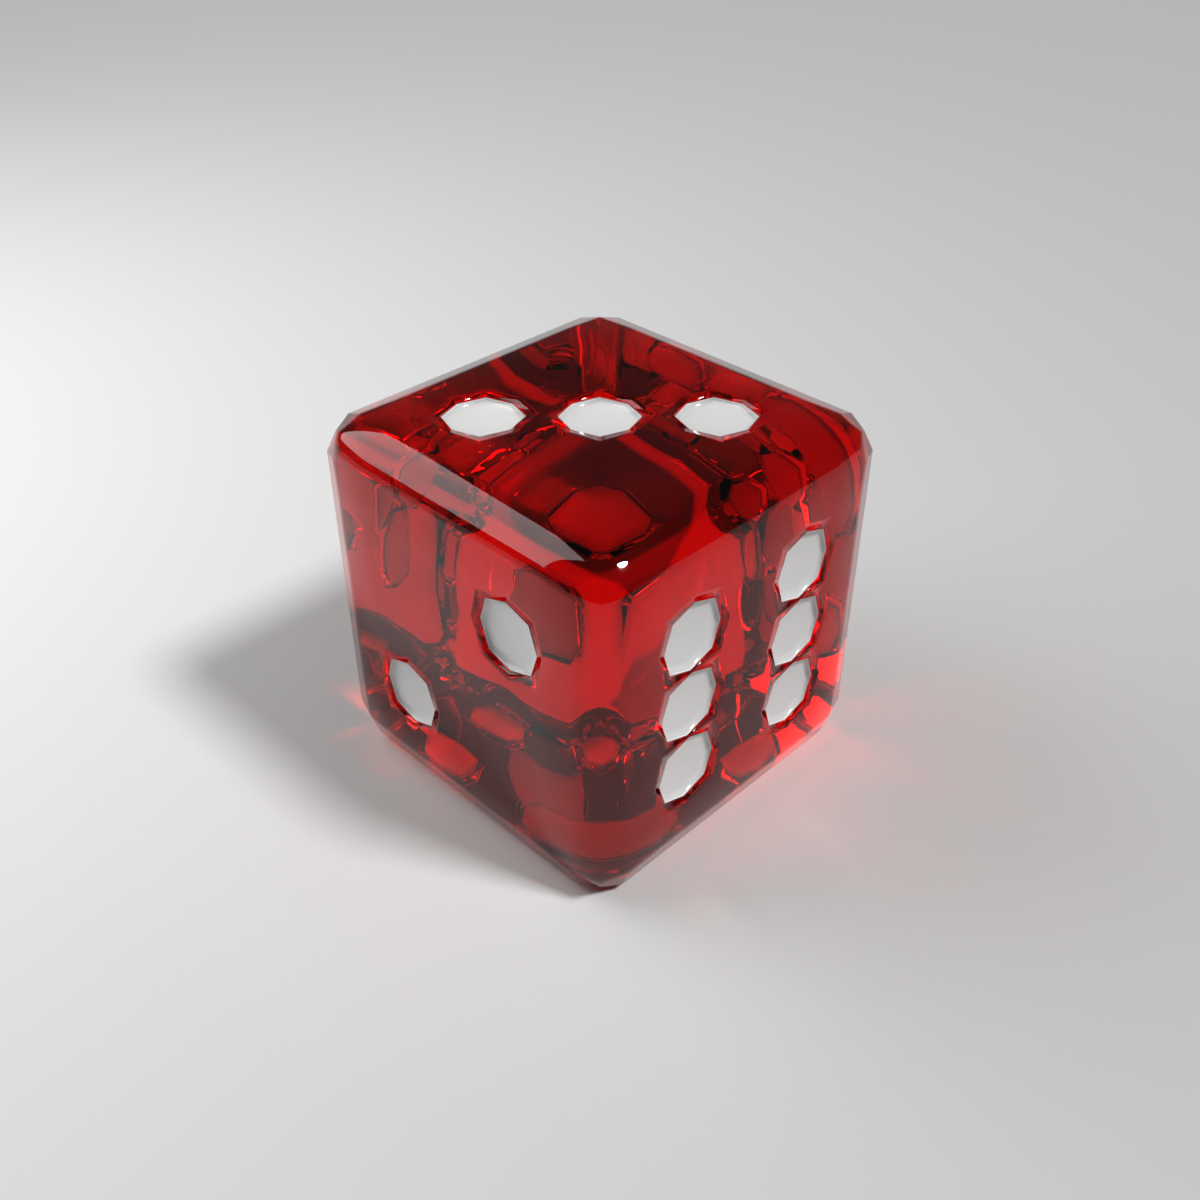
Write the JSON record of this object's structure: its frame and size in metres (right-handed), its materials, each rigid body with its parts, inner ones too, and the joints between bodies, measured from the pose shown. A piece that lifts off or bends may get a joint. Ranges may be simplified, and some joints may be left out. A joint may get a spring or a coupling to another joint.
{
  "type": "casino die",
  "caption": "Cube-shaped clear red gaming die with bevelled edges and eight-sided white pips inlaid in shallow pockets.",
  "frame": {"origin": "centre of the bottom face, which is the four", "axes": "+Z out of the three on top; -Y out of the two and +X out of the six, the faces seen from the front"},
  "size_m": [0.019, 0.019, 0.0191],
  "materials": {
    "red_acetate": "polished, clear deep red cellulose acetate",
    "white_pip": "glossy opaque white filler"
  },
  "bodies": {
    "root": {"die_body": "red_acetate", "pip_one_1": "white_pip", "pip_two_1": "white_pip", "pip_two_2": "white_pip", "pip_three_1": "white_pip", "pip_three_2": "white_pip", "pip_three_3": "white_pip", "pip_four_1": "white_pip", "pip_four_2": "white_pip", "pip_four_3": "white_pip", "pip_four_4": "white_pip", "pip_five_1": "white_pip", "pip_five_2": "white_pip", "pip_five_3": "white_pip", "pip_five_4": "white_pip", "pip_five_5": "white_pip", "pip_six_1": "white_pip", "pip_six_2": "white_pip", "pip_six_3": "white_pip", "pip_six_4": "white_pip", "pip_six_5": "white_pip", "pip_six_6": "white_pip"}
  },
  "joints": []
}
